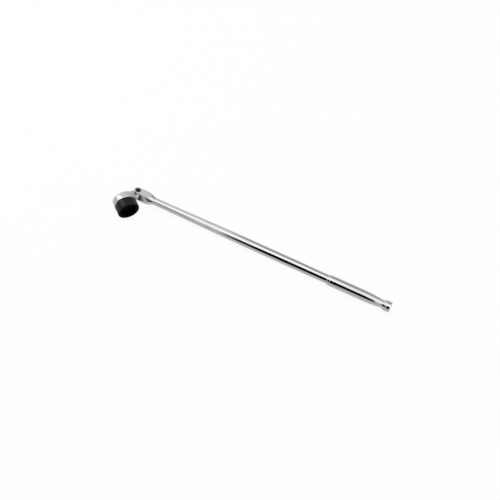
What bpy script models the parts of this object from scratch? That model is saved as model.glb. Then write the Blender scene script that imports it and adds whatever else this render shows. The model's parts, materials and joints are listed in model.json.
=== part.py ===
"""Breaker bar with a swivel head and a short socket, lying as it comes to rest on a bench.

Metres, +Z up. The bar runs along +X from its fork to its knob, and the origin is under the middle of
the whole tool, on the bench. Inside the script each piece is placed in one of three frames:

  bar frame    origin on the pivot axis, +X along the bar, +Z along the pivot axis
  head frame   the bar frame turned about the pivot axis by the flex of the head
  drive frame  origin in the middle of the disc's underside, -Z out through the mouth of the socket
"""
import math

import bmesh
import bpy
from mathutils import Vector

# Handle bar, lengths measured from the pivot axis or from the end of the knob
HANDLE_LENGTH = 0.5448
SHANK_RADIUS_AT_FORK = 0.0074
SHANK_RADIUS = 0.0094
SHANK_RADIUS_AT_GRIP = 0.0090
SHANK_SWELL_LENGTH = 0.220
SHANK_FULL_LENGTH = 0.090
GRIP_LENGTH = 0.136
GRIP_STEP_LENGTH = 0.008
GRIP_RADIUS = 0.0109
GRIP_TAPER_LENGTH = 0.036
WAIST_RADIUS = 0.0082
WAIST_LENGTH = 0.0010
KNOB_LENGTH = 0.0205
KNOB_RADIUS = 0.0109
KNOB_FLARE_LENGTH = 0.0100
KNOB_GROOVE_DEPTH = 0.0005
KNOB_GROOVE_WIDTH = 0.0020
KNOB_RIM_LENGTH = 0.0080
KNOB_ROUND = 0.0022

# Fork at the end of the bar
FORK_WIDTH = 0.0154
FORK_THICKNESS = 0.0212
FORK_FLAT_LENGTH = 0.0225
FORK_LENGTH = 0.039
FORK_EDGE = 0.0009
POCKET_LENGTH = 0.010
SLIT_BEND = 0.020
SLIT_LENGTH = 0.0355
SLIT_END_HEIGHT = 0.0042
SLIT_END_RADIUS = 0.0012

# Swivel head
FLEX_ANGLE = 45.0
HEAD_REACH = 0.0324
HEAD_DROP = 0.0190
DISC_RADIUS = 0.0225
DISC_THICKNESS = 0.0142
DISC_EDGE = 0.0014
TONGUE_THICKNESS = 0.0126
TONGUE_RADIUS = 0.0078
TONGUE_ROUND = 110.0
NECK_SHOULDER = 0.0098
NECK_WIDTH = 0.0110
NECK_TOP = 0.0032
NECK_TOP_LENGTH = 0.0250
NECK_CLEARANCE = 0.0010
NECK_EDGE = 0.0020
SQUARE_SIDE = 0.0127
SQUARE_LENGTH = 0.0084
SQUARE_EDGE = 0.0009

# Pivot screw and the washers on it
SCREW_RADIUS = 0.0036
SCREW_HEAD_RADIUS = 0.0049
SCREW_HEAD_HEIGHT = 0.0018
SCREW_HEAD_PROUD = 0.0014
SCREW_END_INSET = 0.0006
HEX_KEY_SIZE = 0.0040
HEX_KEY_DEPTH = 0.0012
SPRING_WASHER_THICKNESS = 0.0007
SPRING_WASHER_SPLIT = 0.0010
FRICTION_WASHER_THICKNESS = 0.0007
FRICTION_WASHER_RADIUS = 0.0063

# Ball and spring in the square drive
BALL_RADIUS = 0.0024
BALL_PROUD = 0.00015
BALL_FROM_SQUARE_END = 0.0042
SPRING_COIL_RADIUS = 0.00155
SPRING_WIRE_RADIUS = 0.00030
SPRING_TURNS = 4
SPRING_PITCH = 0.0012

# Socket
SOCKET_RADIUS = 0.0219
SOCKET_LENGTH = 0.0180
SOCKET_EDGE = 0.0010
NUT_SIZE = 0.0300
NUT_DEPTH = 0.0085
MOUTH_CHAMFER = 0.0012

# Clearances
SEAT_GAP = 0.0003
BORE_GAP = 0.0003
SQUARE_GAP = 0.00035
CUT_OVERRUN = 0.0040

# Facets around turned pieces
BAR_FACETS = 48
HEAD_FACETS = 52
SMALL_FACETS = 32
CURVE_STEPS = 6

# Places that follow from the sizes
SLOT_WIDTH = TONGUE_THICKNESS + 2 * FRICTION_WASHER_THICKNESS + 4 * SEAT_GAP
EAR_OUTSIDE = FORK_THICKNESS / 2
BORE_RADIUS = SCREW_RADIUS + BORE_GAP
SCREW_HEAD_TOP = EAR_OUTSIDE + SCREW_HEAD_PROUD
SCREW_HEAD_UNDERSIDE = SCREW_HEAD_TOP - SCREW_HEAD_HEIGHT
COUNTERBORE_FLOOR = SCREW_HEAD_UNDERSIDE - SPRING_WASHER_THICKNESS - 2 * SEAT_GAP
COUNTERBORE_RADIUS = SCREW_HEAD_RADIUS + BORE_GAP
BALL_HEIGHT = BALL_FROM_SQUARE_END - SQUARE_LENGTH
BALL_CENTRE = SQUARE_SIDE / 2 + BALL_PROUD - BALL_RADIUS
BALL_HOLE_RADIUS = BALL_RADIUS + BORE_GAP
SPRING_OUTER_END = BALL_CENTRE - BALL_RADIUS - SEAT_GAP
SPRING_LENGTH = SPRING_TURNS * SPRING_PITCH + 2 * SPRING_WIRE_RADIUS
SPRING_INNER_END = SPRING_OUTER_END - SPRING_LENGTH
SOCKET_TOP = -SEAT_GAP


def clear_scene():
    """Remove every object, so that the script can run again in the same file."""
    for item in list(bpy.data.objects):
        bpy.data.objects.remove(item, do_unlink=True)
    for name in ("breaker_bar", "cutters"):
        if name in bpy.data.collections:
            bpy.data.collections.remove(bpy.data.collections[name])


def new_collection(name):
    collection = bpy.data.collections.new(name)
    bpy.context.scene.collection.children.link(collection)
    return collection


def finish(name, colour, roughness, metallic):
    """A plain surface finish for one piece."""
    material = bpy.data.materials.new(name)
    material.use_nodes = True
    shader = material.node_tree.nodes["Principled BSDF"]
    shader.inputs["Base Color"].default_value = (*colour, 1.0)
    shader.inputs["Roughness"].default_value = roughness
    shader.inputs["Metallic"].default_value = metallic
    return material


def empty(name, parent, location=(0, 0, 0), rotation=(0, 0, 0)):
    item = bpy.data.objects.new(name, None)
    parts.objects.link(item)
    return place(item, parent, location, rotation)


def place(item, parent, location=(0, 0, 0), rotation=(0, 0, 0)):
    """Set an object in its parent's frame; the rotation is in degrees."""
    item.parent = parent
    item.location = location
    item.rotation_euler = [math.radians(angle) for angle in rotation]
    return item


def as_part(item, material):
    parts.objects.link(item)
    item.data.materials.append(material)
    return item


def as_cutter(item):
    """A shape that only cuts or joins, kept out of the finished tool."""
    cutters.objects.link(item)
    item.hide_render = True
    item.display_type = "WIRE"
    return item


def boolean(target, cutter, operation):
    modifier = target.modifiers.new(f"{operation.lower()}_{cutter.name}", "BOOLEAN")
    modifier.operation = operation
    modifier.object = cutter
    modifier.solver = "EXACT"


def bevel(item, width, segments):
    modifier = item.modifiers.new("rounded_edges", "BEVEL")
    modifier.width = width
    modifier.segments = segments
    modifier.limit_method = "ANGLE"
    modifier.angle_limit = math.radians(40)


def smooth(item):
    item.data.shade_smooth()
    item.data.set_sharp_from_angle(angle=math.radians(35))


def turned(name, profile, facets):
    """Turn a profile of (radius, height) points, listed from the top down, about its own Z axis."""
    mesh = bpy.data.meshes.new(name)
    points = [(radius, 0.0, height) for radius, height in profile]
    edges = [(index, index + 1) for index in range(len(points) - 1)]
    mesh.from_pydata(points, edges, [])
    item = bpy.data.objects.new(name, mesh)
    screw = item.modifiers.new("turned", "SCREW")
    screw.steps = facets
    screw.render_steps = facets
    screw.use_merge_vertices = True
    screw.merge_threshold = 0.00001
    screw.use_smooth_shade = True
    return item


def turned_ring(name, inner, outer, low, high, facets):
    """A turned washer; the profile is a closed loop, so that its two ends meet."""
    profile = [(outer, high), (outer, low), (inner, low), (inner, high), (outer, high)]
    return turned(name, profile, facets)


def outline_solid(name, points, half_thickness):
    """A flat outline, given a thickness along its own Z axis."""
    curve = bpy.data.curves.new(name, "CURVE")
    curve.dimensions = "2D"
    curve.fill_mode = "BOTH"
    curve.extrude = half_thickness
    spline = curve.splines.new("POLY")
    spline.points.add(len(points) - 1)
    for spline_point, (x, y) in zip(spline.points, points):
        spline_point.co = (x, y, 0.0, 1.0)
    spline.use_cyclic_u = True
    return mesh_from_curve(name, curve)


def mesh_from_curve(name, curve):
    """Make a closed mesh of a curve, with its caps welded on."""
    source = bpy.data.objects.new(name + "_curve", curve)
    cutters.objects.link(source)
    evaluated = source.evaluated_get(bpy.context.evaluated_depsgraph_get())
    mesh = bpy.data.meshes.new_from_object(evaluated)
    bpy.data.objects.remove(source, do_unlink=True)
    shape = bmesh.new()
    shape.from_mesh(mesh)
    bmesh.ops.remove_doubles(shape, verts=shape.verts, dist=0.000001)
    bmesh.ops.recalc_face_normals(shape, faces=shape.faces)
    shape.to_mesh(mesh)
    shape.free()
    mesh.name = name
    return bpy.data.objects.new(name, mesh)


def merge_flat_faces(item):
    """Make one face of each flat cap, so that a bevel can run along its edge at full width."""
    shape = bmesh.new()
    shape.from_mesh(item.data)
    bmesh.ops.dissolve_limit(shape, angle_limit=math.radians(0.1), verts=shape.verts, edges=shape.edges)
    shape.to_mesh(item.data)
    shape.free()


def box(name, size, centre):
    mesh = bpy.data.meshes.new(name)
    shape = bmesh.new()
    bmesh.ops.create_cube(shape, size=1.0)
    bmesh.ops.scale(shape, vec=Vector(size), verts=shape.verts)
    bmesh.ops.translate(shape, vec=Vector(centre), verts=shape.verts)
    shape.to_mesh(mesh)
    shape.free()
    return bpy.data.objects.new(name, mesh)


def prism(name, sides, across_flats, low, high):
    """A prism with an even number of sides, standing along its own Z axis."""
    mesh = bpy.data.meshes.new(name)
    shape = bmesh.new()
    corner_radius = across_flats / 2 / math.cos(math.pi / sides)
    bmesh.ops.create_cone(shape, cap_ends=True, segments=sides, radius1=corner_radius,
                          radius2=corner_radius, depth=high - low)
    bmesh.ops.translate(shape, vec=(0, 0, (low + high) / 2), verts=shape.verts)
    shape.to_mesh(mesh)
    shape.free()
    return bpy.data.objects.new(name, mesh)


def rod(name, radius, low, high, facets):
    """A plain round cutter along its own Z axis."""
    return turned(name, [(0.0, high), (radius, high), (radius, low), (0.0, low)], facets)


def arc(centre, radius, start, end, steps):
    """Points round an arc, the angles in degrees."""
    points = []
    for step in range(steps + 1):
        angle = math.radians(start + (end - start) * step / steps)
        points.append((centre[0] + radius * math.cos(angle), centre[1] + radius * math.sin(angle)))
    return points


def rest_angles():
    """Roll and dip of the bar, in degrees, lying on the disc's back rim, the fork's corner and the knob."""
    flex = math.radians(FLEX_ANGLE)
    rim_drop = HEAD_DROP - DISC_THICKNESS + DISC_EDGE
    rim_offset = HEAD_REACH * math.sin(flex) + rim_drop * math.cos(flex)
    rim_behind = HEAD_REACH * math.cos(flex) - rim_drop * math.sin(flex)
    rim_radius = DISC_RADIUS - DISC_EDGE
    low, high = 0.0, 90.0
    for _ in range(40):
        roll = (low + high) / 2
        lift = math.sin(math.radians(roll))
        level = math.cos(math.radians(roll))
        corner = FORK_THICKNESS / 2 * level + FORK_WIDTH / 2 * lift - FORK_EDGE * (level + lift - 1)
        dip = math.asin((corner - KNOB_RADIUS) / (HANDLE_LENGTH - FORK_FLAT_LENGTH))
        rim = rim_offset * lift - rim_radius * math.sqrt(1 - (lift * math.cos(flex)) ** 2) - DISC_EDGE
        rim += (FORK_FLAT_LENGTH + rim_behind) * math.sin(dip)
        if rim < -corner:
            low = roll
        else:
            high = roll
    return roll, math.degrees(dip)


def shank_profile():
    """The bar's turned outline as (radius, distance from the pivot), from the knob's end to the fork."""
    rim_start = HANDLE_LENGTH - KNOB_RIM_LENGTH
    groove_start = rim_start - KNOB_GROOVE_WIDTH
    knob_start = HANDLE_LENGTH - KNOB_LENGTH
    waist_start = knob_start - WAIST_LENGTH
    grip_start = HANDLE_LENGTH - GRIP_LENGTH
    round_centre = (KNOB_RADIUS - KNOB_ROUND, HANDLE_LENGTH - KNOB_ROUND)
    profile = [(0.0, HANDLE_LENGTH)]
    profile += arc(round_centre, KNOB_ROUND, 90, 0, CURVE_STEPS)
    profile += [
        (KNOB_RADIUS, rim_start),
        (KNOB_RADIUS - KNOB_GROOVE_DEPTH, rim_start - KNOB_GROOVE_WIDTH * 0.25),
        (KNOB_RADIUS - KNOB_GROOVE_DEPTH, groove_start + KNOB_GROOVE_WIDTH * 0.25),
        (KNOB_RADIUS, groove_start),
        (KNOB_RADIUS, knob_start + KNOB_FLARE_LENGTH),
    ]
    profile += eased(KNOB_RADIUS, WAIST_RADIUS, knob_start + KNOB_FLARE_LENGTH, knob_start)[1:]
    profile += eased(WAIST_RADIUS, GRIP_RADIUS, waist_start, waist_start - GRIP_TAPER_LENGTH)
    profile += [(GRIP_RADIUS, grip_start + GRIP_STEP_LENGTH)]
    profile += eased(GRIP_RADIUS, SHANK_RADIUS_AT_GRIP, grip_start + GRIP_STEP_LENGTH, grip_start)[1:]
    full_end = FORK_LENGTH + SHANK_SWELL_LENGTH + SHANK_FULL_LENGTH
    profile += [(SHANK_RADIUS, full_end)]
    profile += eased(SHANK_RADIUS, SHANK_RADIUS_AT_FORK, FORK_LENGTH + SHANK_SWELL_LENGTH, FORK_LENGTH)
    profile += [(SHANK_RADIUS_AT_FORK, FORK_FLAT_LENGTH), (0.0, FORK_FLAT_LENGTH)]
    return profile


def eased(start_radius, end_radius, start, end):
    """A smooth S-shaped run between two radii along the bar."""
    points = []
    for step in range(CURVE_STEPS + 1):
        share = step / CURVE_STEPS
        blend = share * share * (3 - 2 * share)
        points.append((start_radius + (end_radius - start_radius) * blend, start + (end - start) * share))
    return points


def fork_envelope():
    """Turned shape that rounds the fork's shoulders down to the shank."""
    corner = math.hypot(FORK_WIDTH, FORK_THICKNESS) / 2
    shank = SHANK_RADIUS_AT_FORK - SEAT_GAP
    profile = [(0.0, FORK_LENGTH)]
    for step in range(CURVE_STEPS + 1):
        share = step / CURVE_STEPS
        along = FORK_LENGTH + (FORK_FLAT_LENGTH - FORK_LENGTH) * share
        profile.append((shank + (corner - shank) * share, along))
    front = -FORK_WIDTH
    profile += [(corner, front), (0.0, front)]
    return turned("fork_shoulder_form", profile, BAR_FACETS)


def make_handle_bar(bar):
    """The bar: turned shank, grip and knob, with the forged fork joined on, slotted and bored."""
    along_bar = (0, 90, 0)
    handle = as_part(turned("handle_bar", shank_profile(), BAR_FACETS), chrome)
    place(handle, bar, rotation=along_bar)
    half = FORK_WIDTH / 2
    plan = arc((0, 0), half, 90, 270, 4 * CURVE_STEPS) + [(FORK_LENGTH, -half), (FORK_LENGTH, half)]
    fork = as_cutter(outline_solid("fork_form", plan, FORK_THICKNESS / 2))
    merge_flat_faces(fork)
    place(fork, bar)
    bevel(fork, FORK_EDGE, 2)
    shoulders = as_cutter(fork_envelope())
    place(shoulders, bar, rotation=along_bar)
    boolean(fork, shoulders, "INTERSECT")
    boolean(handle, fork, "UNION")

    wide = SLOT_WIDTH / 2
    front = -half - CUT_OVERRUN
    slit_end = (SLIT_LENGTH - SLIT_END_RADIUS, SLIT_END_HEIGHT)
    side = [(SLIT_BEND, wide), (front, wide), (front, -wide), (POCKET_LENGTH, -wide)]
    ramp = math.degrees(math.atan2(SLIT_END_HEIGHT + wide, slit_end[0] - POCKET_LENGTH))
    fall = math.degrees(math.atan2(wide - SLIT_END_HEIGHT, slit_end[0] - SLIT_BEND))
    side += arc(slit_end, SLIT_END_RADIUS, ramp - 90, 90 - fall, 2 * CURVE_STEPS)
    slot = as_cutter(outline_solid("fork_slot", side, half + CUT_OVERRUN))
    place(slot, bar, rotation=(90, 0, 0))
    boolean(handle, slot, "DIFFERENCE")

    bore = [
        (0.0, EAR_OUTSIDE + CUT_OVERRUN),
        (COUNTERBORE_RADIUS, EAR_OUTSIDE + CUT_OVERRUN),
        (COUNTERBORE_RADIUS, COUNTERBORE_FLOOR),
        (BORE_RADIUS, COUNTERBORE_FLOOR),
        (BORE_RADIUS, -EAR_OUTSIDE - CUT_OVERRUN),
        (0.0, -EAR_OUTSIDE - CUT_OVERRUN),
    ]
    pivot_bore = as_cutter(turned("fork_pivot_bore", bore, SMALL_FACETS))
    place(pivot_bore, bar)
    boolean(handle, pivot_bore, "DIFFERENCE")


def neck_plan():
    """Plan of the neck, as (forward, sideways) points, spreading from the tongue to the disc's rim."""
    half = NECK_WIDTH / 2
    rim = DISC_RADIUS - DISC_EDGE
    apart = math.hypot(HEAD_REACH, half)
    tangent = math.acos(rim / apart) + math.atan2(half, HEAD_REACH)
    touch = (-HEAD_REACH + rim * math.cos(tangent), rim * math.sin(tangent))
    return [(0.0, half), touch, (-HEAD_REACH, 0.0), (touch[0], -touch[1]), (0.0, -half)]


def neck_side():
    """Side of the neck, as (forward, away from the mouth) points, stepping down from the tongue to the disc.

    Its front stays clear of the fork's side when the head is square to the bar.
    """
    front = -FORK_WIDTH / 2 - NECK_CLEARANCE
    disc_top = -HEAD_DROP + DISC_THICKNESS - SEAT_GAP
    disc_bottom = -HEAD_DROP + DISC_EDGE
    disc_edge = -HEAD_REACH + DISC_RADIUS
    past_centre = -HEAD_REACH - DISC_EDGE
    return [
        (front, NECK_TOP),
        (-NECK_TOP_LENGTH, disc_top),
        (past_centre, disc_top),
        (past_centre, disc_bottom),
        (disc_edge - DISC_EDGE, disc_bottom),
        (front, -TONGUE_RADIUS),
    ]


def make_neck_form(head):
    """The neck: plan and side outlines in one block, hollowed to clear the round ends of the ears."""
    neck = as_cutter(outline_solid("neck_form", neck_plan(), 2 * HEAD_DROP))
    place(neck, head, rotation=(90, 0, 0))
    side = as_cutter(outline_solid("neck_side_form", neck_side(), 2 * DISC_RADIUS))
    place(side, head)
    boolean(neck, side, "INTERSECT")
    bevel(neck, NECK_EDGE, 3)
    hollow = as_cutter(rod("neck_hollow", NECK_SHOULDER, -2 * DISC_RADIUS, 2 * DISC_RADIUS, BAR_FACETS))
    place(hollow, head)
    boolean(neck, hollow, "DIFFERENCE")
    return neck


def tongue_outline():
    """Side of the tongue: round about the pivot, with a root that runs into the neck."""
    root = [
        (-NECK_SHOULDER, NECK_TOP - SEAT_GAP),
        (-NECK_SHOULDER - CUT_OVERRUN / 2, 0.0),
        (-NECK_SHOULDER, -TONGUE_RADIUS + SEAT_GAP),
    ]
    return root + arc((0, 0), TONGUE_RADIUS, -TONGUE_ROUND, TONGUE_ROUND, 6 * CURVE_STEPS)


def make_swivel_head(head, drive):
    """The head: turned disc with its neck, tongue and square drive."""
    top_round = (DISC_RADIUS - DISC_EDGE, DISC_THICKNESS - DISC_EDGE)
    low_round = (DISC_RADIUS - DISC_EDGE, DISC_EDGE)
    profile = [(0.0, DISC_THICKNESS)]
    profile += arc(top_round, DISC_EDGE, 90, 0, CURVE_STEPS // 2)
    profile += arc(low_round, DISC_EDGE, 0, -90, CURVE_STEPS // 2)
    profile += [(0.0, 0.0)]
    disc = as_part(turned("swivel_head", profile, HEAD_FACETS), chrome)
    place(disc, drive)

    boolean(disc, make_neck_form(head), "UNION")
    tongue = as_cutter(outline_solid("tongue_form", tongue_outline(), TONGUE_THICKNESS / 2))
    place(tongue, head)
    boolean(disc, tongue, "UNION")

    square_root = CUT_OVERRUN / 2
    square = as_cutter(box("square_form", (SQUARE_SIDE, SQUARE_SIDE, square_root + SQUARE_LENGTH),
                           (0, 0, (square_root - SQUARE_LENGTH) / 2)))
    place(square, drive)
    bevel(square, SQUARE_EDGE, 2)
    boolean(disc, square, "UNION")

    bore = as_cutter(rod("tongue_bore", BORE_RADIUS, -TONGUE_THICKNESS, TONGUE_THICKNESS, SMALL_FACETS))
    place(bore, head)
    boolean(disc, bore, "DIFFERENCE")
    ball_hole = as_cutter(rod("ball_hole", BALL_HOLE_RADIUS, SPRING_INNER_END - SEAT_GAP,
                              SQUARE_SIDE / 2 + CUT_OVERRUN, SMALL_FACETS))
    place(ball_hole, drive, (0, 0, BALL_HEIGHT), (0, 90, 0))
    boolean(disc, ball_hole, "DIFFERENCE")


def make_pivot_screw(bar):
    """Round-headed screw through both ears, with a hexagon recess in its head."""
    crown = SCREW_HEAD_HEIGHT * 0.45
    profile = [(0.0, SCREW_HEAD_TOP)]
    for step in range(1, CURVE_STEPS + 1):
        angle = math.radians(90 * step / CURVE_STEPS)
        radius = SCREW_HEAD_RADIUS * math.sin(angle)
        profile.append((radius, SCREW_HEAD_TOP - crown * (1 - math.cos(angle))))
    screw_end = -EAR_OUTSIDE + SCREW_END_INSET
    profile += [(SCREW_HEAD_RADIUS, SCREW_HEAD_UNDERSIDE), (SCREW_RADIUS, SCREW_HEAD_UNDERSIDE)]
    profile += [(SCREW_RADIUS, screw_end), (0.0, screw_end)]
    screw = as_part(turned("pivot_screw", profile, SMALL_FACETS), black_steel)
    place(screw, bar)
    key = as_cutter(prism("hex_key_recess", 6, HEX_KEY_SIZE, SCREW_HEAD_TOP - HEX_KEY_DEPTH,
                          SCREW_HEAD_TOP + CUT_OVERRUN))
    place(key, bar)
    boolean(screw, key, "DIFFERENCE")


def make_washers(bar):
    """The split spring washer under the screw's head, and a friction washer on each side of the tongue."""
    low = COUNTERBORE_FLOOR + SEAT_GAP
    ring = turned_ring("spring_washer", BORE_RADIUS, SCREW_HEAD_RADIUS, low,
                       low + SPRING_WASHER_THICKNESS, SMALL_FACETS)
    spring_washer = place(as_part(ring, washer_steel), bar)
    split = as_cutter(box("washer_split", (SCREW_HEAD_RADIUS * 2, SPRING_WASHER_SPLIT, CUT_OVERRUN),
                          (SCREW_HEAD_RADIUS, 0, low)))
    place(split, bar, rotation=(0, 0, 135))
    boolean(spring_washer, split, "DIFFERENCE")
    inside = TONGUE_THICKNESS / 2 + SEAT_GAP
    outside = inside + FRICTION_WASHER_THICKNESS
    for name, low, high in (("upper_friction_washer", inside, outside),
                            ("lower_friction_washer", -outside, -inside)):
        ring = turned_ring(name, BORE_RADIUS, FRICTION_WASHER_RADIUS, low, high, SMALL_FACETS)
        place(as_part(ring, bronze), bar)


def make_drive_ball(ball_slide):
    """The ball in the side of the square."""
    mesh = bpy.data.meshes.new("drive_ball")
    shape = bmesh.new()
    bmesh.ops.create_uvsphere(shape, u_segments=20, v_segments=12, radius=BALL_RADIUS)
    shape.to_mesh(mesh)
    shape.free()
    ball = as_part(bpy.data.objects.new("drive_ball", mesh), washer_steel)
    smooth(ball)
    place(ball, ball_slide)


def make_drive_spring(drive):
    """The coil spring behind the ball, one wire wound at an even pitch."""
    points_per_turn = 10
    count = SPRING_TURNS * points_per_turn
    start = SPRING_INNER_END + SPRING_WIRE_RADIUS
    curve = bpy.data.curves.new("drive_spring", "CURVE")
    curve.dimensions = "3D"
    curve.bevel_depth = SPRING_WIRE_RADIUS
    curve.bevel_resolution = 1
    curve.use_fill_caps = True
    spline = curve.splines.new("POLY")
    spline.points.add(count)
    for step, spline_point in enumerate(spline.points):
        angle = 2 * math.pi * step / points_per_turn
        along = start + SPRING_PITCH * step / points_per_turn
        across = SPRING_COIL_RADIUS * math.cos(angle)
        spline_point.co = (across, SPRING_COIL_RADIUS * math.sin(angle), along, 1.0)
    spring = as_part(mesh_from_curve("drive_spring", curve), washer_steel)
    place(spring, drive, (0, 0, BALL_HEIGHT), (0, 90, 0))
    print("drive spring: gap between turns", round((SPRING_PITCH - 2 * SPRING_WIRE_RADIUS) * 1000, 3), "mm")


def make_drive_socket(socket_slide):
    """The short six-point socket, with a square hole at its top and a hexagon at its mouth."""
    low = SOCKET_TOP - SOCKET_LENGTH
    profile = [
        (0.0, SOCKET_TOP),
        (SOCKET_RADIUS - SOCKET_EDGE, SOCKET_TOP),
        (SOCKET_RADIUS, SOCKET_TOP - SOCKET_EDGE),
        (SOCKET_RADIUS, low + SOCKET_EDGE),
        (SOCKET_RADIUS - SOCKET_EDGE, low),
        (0.0, low),
    ]
    socket = as_part(turned("drive_socket", profile, BAR_FACETS), black_steel)
    place(socket, socket_slide)
    square_hole = SQUARE_SIDE + 2 * SQUARE_GAP
    square = as_cutter(box("square_hole", (square_hole, square_hole, 2 * SOCKET_LENGTH), (0, 0, SOCKET_TOP)))
    place(square, socket_slide)
    boolean(socket, square, "DIFFERENCE")
    nut = as_cutter(prism("nut_hexagon", 6, NUT_SIZE, low - CUT_OVERRUN, low + NUT_DEPTH))
    place(nut, socket_slide)
    boolean(socket, nut, "DIFFERENCE")
    corner = NUT_SIZE / 2 / math.cos(math.pi / 6)
    flat = NUT_SIZE / 2
    lead_in = [
        (0.0, low + MOUTH_CHAMFER + corner - flat),
        (flat - MOUTH_CHAMFER, low + MOUTH_CHAMFER + corner - flat),
        (corner + MOUTH_CHAMFER / 2, low - CUT_OVERRUN / 10),
        (0.0, low - CUT_OVERRUN / 10),
    ]
    chamfer = as_cutter(turned("mouth_chamfer", lead_in, BAR_FACETS))
    place(chamfer, socket_slide)
    boolean(socket, chamfer, "DIFFERENCE")


def stand_on_bench(bar):
    """Move the whole tool so that the origin is under its middle, on the bench."""
    bpy.context.view_layer.update()
    depsgraph = bpy.context.evaluated_depsgraph_get()
    corners = []
    for item in parts.objects:
        if item.type == "MESH":
            evaluated = item.evaluated_get(depsgraph)
            corners += [evaluated.matrix_world @ vertex.co for vertex in evaluated.data.vertices]
    low = [min(corner[axis] for corner in corners) for axis in range(3)]
    high = [max(corner[axis] for corner in corners) for axis in range(3)]
    bar.location = (-(low[0] + high[0]) / 2, -(low[1] + high[1]) / 2, -low[2])


clear_scene()
parts = new_collection("breaker_bar")
cutters = new_collection("cutters")
chrome = finish("polished_chrome", (0.78, 0.79, 0.80), 0.12, 1.0)
black_steel = finish("blackened_steel", (0.025, 0.025, 0.027), 0.45, 0.6)
washer_steel = finish("washer_steel", (0.55, 0.55, 0.56), 0.30, 1.0)
bronze = finish("friction_bronze", (0.60, 0.42, 0.24), 0.35, 1.0)

roll, dip = rest_angles()
bar_frame = empty("bar_frame", None, rotation=(-roll, dip, 0))
head_frame = empty("head_frame", bar_frame, rotation=(0, 0, FLEX_ANGLE))
drive_frame = empty("drive_frame", head_frame, (-HEAD_REACH, -HEAD_DROP, 0), (-90, 0, 0))
ball_frame = empty("ball_frame", drive_frame, (BALL_CENTRE, 0, BALL_HEIGHT))
socket_frame = empty("socket_frame", drive_frame)

make_handle_bar(bar_frame)
make_swivel_head(head_frame, drive_frame)
make_pivot_screw(bar_frame)
make_washers(bar_frame)
make_drive_ball(ball_frame)
make_drive_spring(drive_frame)
make_drive_socket(socket_frame)
stand_on_bench(bar_frame)
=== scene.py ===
"""Looks of a chromed breaker bar with a swivel head and a short black socket on a pale bench."""
import json
import math

import bmesh
import bpy
from mathutils import Matrix, Vector


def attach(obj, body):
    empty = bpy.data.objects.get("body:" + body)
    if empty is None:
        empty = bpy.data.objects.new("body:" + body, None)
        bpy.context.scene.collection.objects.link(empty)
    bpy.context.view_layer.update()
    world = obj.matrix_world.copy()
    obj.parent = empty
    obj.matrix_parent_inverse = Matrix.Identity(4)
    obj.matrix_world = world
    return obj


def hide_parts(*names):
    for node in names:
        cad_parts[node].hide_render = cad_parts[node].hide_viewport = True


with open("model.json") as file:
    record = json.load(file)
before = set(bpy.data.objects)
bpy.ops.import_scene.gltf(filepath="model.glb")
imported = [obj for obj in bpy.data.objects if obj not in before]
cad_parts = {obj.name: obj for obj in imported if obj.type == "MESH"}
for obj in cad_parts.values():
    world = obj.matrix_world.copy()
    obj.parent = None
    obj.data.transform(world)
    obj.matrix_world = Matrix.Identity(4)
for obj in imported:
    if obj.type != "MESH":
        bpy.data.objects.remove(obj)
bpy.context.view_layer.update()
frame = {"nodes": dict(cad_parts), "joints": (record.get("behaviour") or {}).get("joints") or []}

# Bar, distances from the pivot axis
BAR_LENGTH = 0.5448
SHANK_RADIUS_AT_FORK = 0.0074
SHANK_RADIUS = 0.0094
SHANK_RADIUS_AT_GRIP = 0.0090
SHANK_SWELL_LENGTH = 0.220
SHANK_FULL_LENGTH = 0.090
GRIP_LENGTH = 0.136
GRIP_STEP_LENGTH = 0.008
GRIP_RADIUS = 0.0109
GRIP_TAPER_LENGTH = 0.039
GRIP_TAPER_POWER = 1.7
WAIST_RADIUS = 0.0082
KNOB_LENGTH = 0.0183
KNOB_RADIUS = 0.0109
KNOB_FLARE_LENGTH = 0.0078
KNOB_GROOVE_DEPTH = 0.0005
KNOB_GROOVE_WIDTH = 0.0020
KNOB_GROOVE_POWER = 1.5
KNOB_RIM_LENGTH = 0.0080
KNOB_ROUND = 0.0022

# Fork, with a wide pocket for the tongue and a slit behind it under the upper ear
FORK_WIDTH = 0.0154
FORK_THICKNESS = 0.0212
FORK_FLAT_LENGTH = 0.0225
FORK_LENGTH = 0.039
FORK_EDGE = 0.0009
FORK_CUT_OFF = 0.050
SHANK_START = 0.054
POCKET_LENGTH = 0.010
SLIT_BEND = 0.020
SLIT_LENGTH = 0.0355
SLIT_END_HEIGHT = 0.0042
SLIT_END_RADIUS = 0.0012
SLOT_WIDTH = 0.0152

# Head
FLEX_ANGLE = 45.0
HEAD_REACH = 0.0324
HEAD_DROP = 0.0190
DISC_RADIUS = 0.0225
DISC_THICKNESS = 0.0142
DISC_EDGE = 0.0014
DISC_FULL_HEIGHT = 0.0030
DISC_CROWN = 0.00055
TONGUE_THICKNESS = 0.0126
TONGUE_RADIUS = 0.0078
TONGUE_ROUND = 110.0
NECK_SHOULDER = 0.0098
NECK_WIDTH = 0.0110
NECK_TOP = 0.0032
NECK_TOP_LENGTH = 0.0250
NECK_CLEARANCE = 0.0010
NECK_EDGE = 0.0020
SQUARE_SIDE = 0.0127
SQUARE_LENGTH = 0.0084
SQUARE_EDGE = 0.0009
BALL_HOLE_RADIUS = 0.0027
BALL_FROM_SQUARE_END = 0.0042
BALL_RADIUS = 0.0024
BALL_PROUD = 0.00015

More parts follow.
